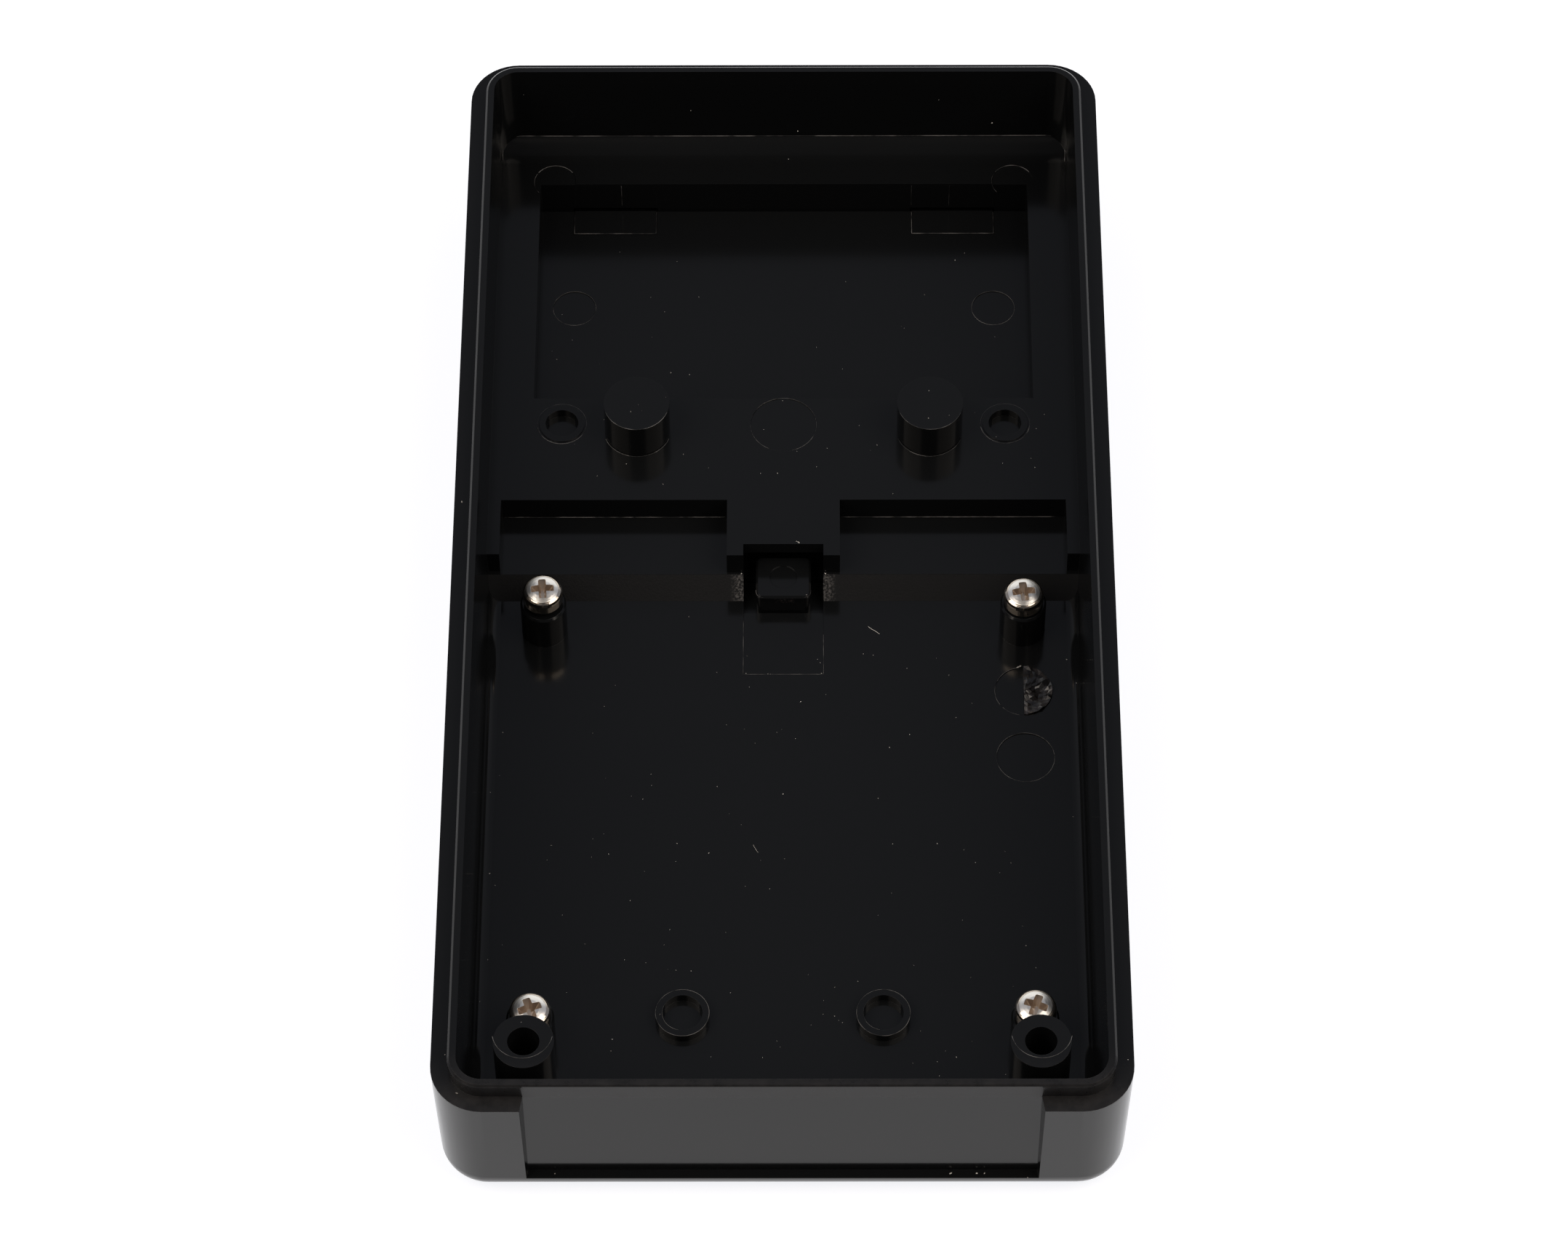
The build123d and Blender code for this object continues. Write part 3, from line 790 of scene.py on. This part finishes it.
# %% Witness lines of the door
DOOR_LINES = [
    (0.08, (16.6, 66.4, 3.46), (16.6, 62.87, 3.46)),
    (0.1, (16.6, 62.87, 3.46), (27.2, 62.87, 3.46)),
    (0.06, (27.2, 66.4, 3.46), (27.2, 62.87, 3.46)),
    (0.07, (3.4, 5.3, 4.97), (3.38, 4.25, 4.97), (2.5, 4.22, 4.97)),
]
DOOR_PIN = (26.9, 50.7, 3.34)
flash = bmesh.new()
for side in (-1, 1):
    for thickness, *points in DOOR_LINES:
        bead(flash, thickness, *(mirrored(side, point) for point in points))
    pin_line(flash, 0.07, mirrored(side, DOOR_PIN), 2.75, 180, 180)
    pin_line(flash, 0.05, mirrored(side, DOOR_PIN), 2.75, 0, 180)
make_piece("mould_flash_door", flash, [flash_abs_painted_highlight], "battery_door", smooth=True)

# %% [markdown]
# ## Torn plastic
# One ejector pin stuck and tore half of its mark: the skin is crumpled and whitened where it
# stretched. The finish streaks from black through brown to a whitened grey, and the same
# noise dents the surface. A finer grain of the same finish, on a patch of the latch's front,
# is a painted glint.

# %% Stress-whitened ABS
def torn_abs_and_painted_glint(name, grain):
    """Torn ABS: stretched plastic turns grey-white with a wet gloss. On the latch, a painted
    glint.
    """
    material = new_material(name)
    tree = material.node_tree
    place = add(tree, "ShaderNodeTexCoord")
    streaks = add(
        tree, "ShaderNodeTexNoise",
        {"Scale": 1000 / grain, "Detail": 4.0, "Roughness": 0.6, "Distortion": 0.8},
        {"Vector": place.outputs["Object"]},
    )
    tint = add(tree, "ShaderNodeValToRGB", {}, {"Fac": streaks.outputs[0]})
    ramp = tint.color_ramp
    ramp.elements[0].position = 0.45
    ramp.elements[0].color = colour("#141314")
    ramp.elements[1].position = 0.8
    ramp.elements[1].color = colour("#8E8E96")
    brown = ramp.elements.new(0.6)
    brown.color = colour("#2B2625")
    bump = add(
        tree, "ShaderNodeBump", {"Strength": 0.3, "Distance": mm(0.08)},
        {"Height": streaks.outputs[0]},
    )
    plastic = add(
        tree, "ShaderNodeBsdfPrincipled", {"Roughness": 0.2, "IOR": 1.54},
        {"Normal": bump.outputs[0], "Base Color": tint.outputs["Color"]},
    )
    add(tree, "ShaderNodeOutputMaterial", {}, {"Surface": plastic.outputs[0]})
    return material


torn = torn_abs_and_painted_glint("stress_whitened_abs", grain=2.6)
latch_glint_abs = torn_abs_and_painted_glint("grey_abs_painted_glint", grain=0.4)
print("finished:", torn.name, latch_glint_abs.name)

# %% [markdown]
# Half a disc is made by spinning a straight row of points through half a turn. Each point is
# then lifted by a smooth noise and, inside the rim, shifted sideways by another. That second
# one, noise_vector, takes its seed from the clock unless it is told one, so it is told one and
# every run tears alike. The sheet gets a thickness so that it is closed. Flat facets, not
# smooth ones, give the broken glints of torn plastic.

# %% Torn mark
TORN_RADIUS = 3.5
TORN_RINGS = 7
TORN_SEED = 11
noise.seed_set(TORN_SEED)
shape = bmesh.new()
row = [shape.verts.new(mm(0, -TORN_RADIUS * i / TORN_RINGS, 0)) for i in range(TORN_RINGS + 1)]
edges = [shape.edges.new(pair) for pair in zip(row, row[1:])]
bmesh.ops.spin(
    shape, geom=row + edges, angle=math.pi, steps=18, axis=(0, 0, 1), cent=(0, 0, 0),
)
bmesh.ops.remove_doubles(shape, verts=shape.verts[:], dist=mm(0.002))
for v in shape.verts:
    spot = v.co * 1000
    fold = noise.noise(spot * 0.7 + Vector((3.1, 0, 0)))
    crease = abs(noise.noise(spot * 1.2 + Vector((0, 7.7, 0))))
    v.co.z = mm(0.14 + 0.3 * fold + 0.55 * crease)
    if spot.length < TORN_RADIUS - 0.2 and spot.x > 0.1:
        v.co += mm(*(noise.noise_vector(spot * 2.4) * 0.3).xy, 0)
bmesh.ops.translate(shape, vec=mm(*TORN_PIN[:2], 2.2), verts=shape.verts[:])
bmesh.ops.solidify(shape, geom=shape.faces[:], thickness=mm(0.22))
make_piece("torn_ejector_mark", shape, [torn], "case")

# %% [markdown]
# On the latch's front a small grid is roughened by noise, thickened so that it is closed, stood
# upright and set against the face of the latch. Its pale grey streaks are a painted glint.

# %% Painted glint on the latch
GLINT_PATCH_SIZE = (2.5, 0.85)
GLINT_PATCH_PLACE = (0.12, 4.2, 4.3)
shape = bmesh.new()
bmesh.ops.create_grid(shape, x_segments=26, y_segments=9, size=0.5)
bmesh.ops.scale(shape, vec=mm(*GLINT_PATCH_SIZE, 1), verts=shape.verts[:])
for v in shape.verts:
    v.co.z = mm(0.09 * noise.noise(v.co * 1000 * 4.3))
bmesh.ops.solidify(shape, geom=shape.faces[:], thickness=mm(0.08))
bmesh.ops.rotate(shape, cent=(0, 0, 0), matrix=turned(90, "X"), verts=shape.verts[:])
bmesh.ops.translate(shape, vec=mm(*GLINT_PATCH_PLACE), verts=shape.verts[:])
make_piece("latch_painted_glint", shape, [latch_glint_abs], "battery_door")

# %% [markdown]
# ## Dust
# Black gloss plastic draws dust, and every speck shows on it. A speck is a squashed icosphere
# of twenty faces, about a tenth of a millimetre across. A fibre is a hair-thin bead. Both are
# matt and pale.

# %% Lint
def lint(name):
    """Dry dust and cotton lint: matt and pale grey, the brightest small thing on black."""
    material = new_material(name)
    tree = material.node_tree
    place = add(tree, "ShaderNodeTexCoord")
    shade = add(
        tree, "ShaderNodeTexNoise", {"Scale": 1000 / 6}, {"Vector": place.outputs["Object"]},
    )
    tint = add(tree, "ShaderNodeValToRGB", {}, {"Fac": shade.outputs[0]})
    tint.color_ramp.elements[0].position = 0.35
    tint.color_ramp.elements[0].color = colour("#8F8B86")
    tint.color_ramp.elements[1].position = 0.65
    tint.color_ramp.elements[1].color = colour("#E9E6E0")
    fluff = add(
        tree, "ShaderNodeBsdfPrincipled", {"Roughness": 0.9},
        {"Base Color": tint.outputs["Color"]},
    )
    add(tree, "ShaderNodeOutputMaterial", {}, {"Surface": fluff.outputs[0]})
    return material


dust_lint = lint("pale_dust_and_lint")
print("finished:", dust_lint.name)

# %% [markdown]
# Some specks lie where the eye expects them, in corners and along edges, and the rest are
# strewn with a seeded random generator, so that every run gives the same dust. To settle, a
# speck is dropped straight down on the CAD mesh: a ray says where it lands. A speck on an
# upright wall can't be dropped, so it is given its place in full.

# %% Dropping dust
DROP_HEIGHT = 60        # mm
dice = random.Random(11)


def land(node, x, y):
    """Where a speck dropped at x, y in millimetres comes to rest on a CAD node."""
    hit, place, _, _ = node.ray_cast(mm(x, y, DROP_HEIGHT), (0, 0, -1))
    return place * 1000 if hit else None


def speck(shape, spot, size):
    """A squashed, tilted grain of its own shape, with its place and size in millimetres."""
    spin = Matrix.Rotation(dice.uniform(0, math.tau), 4, "Z")
    tilt = Matrix.Rotation(dice.uniform(0, 0.6), 4, "X")
    squash = Matrix.Diagonal((dice.uniform(0.6, 1.7), dice.uniform(0.6, 1.0), 0.6, 1))
    bmesh.ops.create_icosphere(
        shape, subdivisions=1, radius=mm(size / 2),
        matrix=Matrix.Translation(mm(*spot)) @ spin @ tilt @ squash,
    )


def strew(node, placed, strewn, areas, walls=()):
    """A shape with the placed specks, those on walls, and the strewn ones on a CAD node."""
    shape = bmesh.new()
    for x, y, size in placed:
        spot = land(node, x, y)
        if spot:
            speck(shape, spot, size)
    for spot in walls:
        speck(shape, spot, dice.uniform(0.08, 0.16))
    for _ in range(strewn):
        x0, x1, y0, y1 = dice.choice(areas)
        spot = land(node, dice.uniform(x0, x1), dice.uniform(y0, y1))
        if spot:
            speck(shape, spot, dice.choice((0.06, 0.07, 0.08, 0.1, 0.13)))
    return shape


print("strew is ready")

# %% [markdown]
# A placed speck is given as x, y and size in millimetres, and an area as its two ends along X
# and then along Y. The floor stands in the list of areas twice, so it draws more dust.

# %% Dust and fibres
CASE_DUST = [
    (-36.84, -74.76, 0.22), (-38.34, -69.73, 0.15), (-26.3, -76.2, 0.16), (19.39, -76.2, 0.3),
    (22.41, -76.2, 0.2), (23.3, -76.2, 0.18), (28.27, -76.72, 0.18), (39.29, -70.47, 0.14),
    (-20.07, -57.22, 0.16), (-20.21, -58.79, 0.12), (19.1, -58.83, 0.1), (-39.08, 7.84, 0.22),
    (-11.73, 3.25, 0.12), (34.9, -3.2, 0.13), (28.9, -4.35, 0.3), (29.15, -4.2, 0.22),
    (-4.5, -2.6, 0.09), (4.55, -3.6, 0.09), (4.2, -3.1, 0.08), (-4.6, -5.2, 0.12),
    (4.7, -5.2, 0.12), (-1.9, -5.3, 0.12), (-1.6, -5.3, 0.1), (-1.35, -5.32, 0.08),
    (-19.6, 22.0, 0.12), (-2.1, 63.4, 0.1), (1.89, 9.95, 0.24), (1.65, 10.1, 0.2),
    (-5.3, 5.9, 0.2), (5.3, 5.9, 0.2), (5.2, 7.8, 0.22), (-5.2, 7.8, 0.2),
]
WALL_DUST = [
    (-33.49, 74.05, 18.1), (1.83, 73.86, 10.95), (-12, 73.95, 15), (20, 74.0, 17),
    (27, 73.9, 12.5),
]
CASE_AREAS = [
    (-36, 36, -52, -2), (-36, 36, -52, -2), (-34, 34, 17, 33), (-36, 36, -70, -50),
    (-39, 39, -76, 76),
]
DOOR_DUST = [(2.85, 4.6, 0.12), (-12, 40, 0.1), (8, 55, 0.09)]
DOOR_AREAS = [(-31, 31, 33, 60)]

dust = strew(nodes["base_shell"], CASE_DUST, 170, CASE_AREAS, walls=WALL_DUST)
bead(dust, 0.05, (10.5, 1.7, 2.24), (11.0, 1.2, 2.3), (11.3, 1.1, 2.26), (11.9, 0.6, 2.24))
bead(dust, 0.04, (-3.6, -30.2, 2.25), (-3.3, -31.0, 2.4), (-3.0, -31.3, 2.24))
make_piece("dust_on_case", dust, [dust_lint], "case")
dust = strew(nodes["battery_door"], DOOR_DUST, 26, DOOR_AREAS)
make_piece("dust_on_door", dust, [dust_lint], "battery_door")
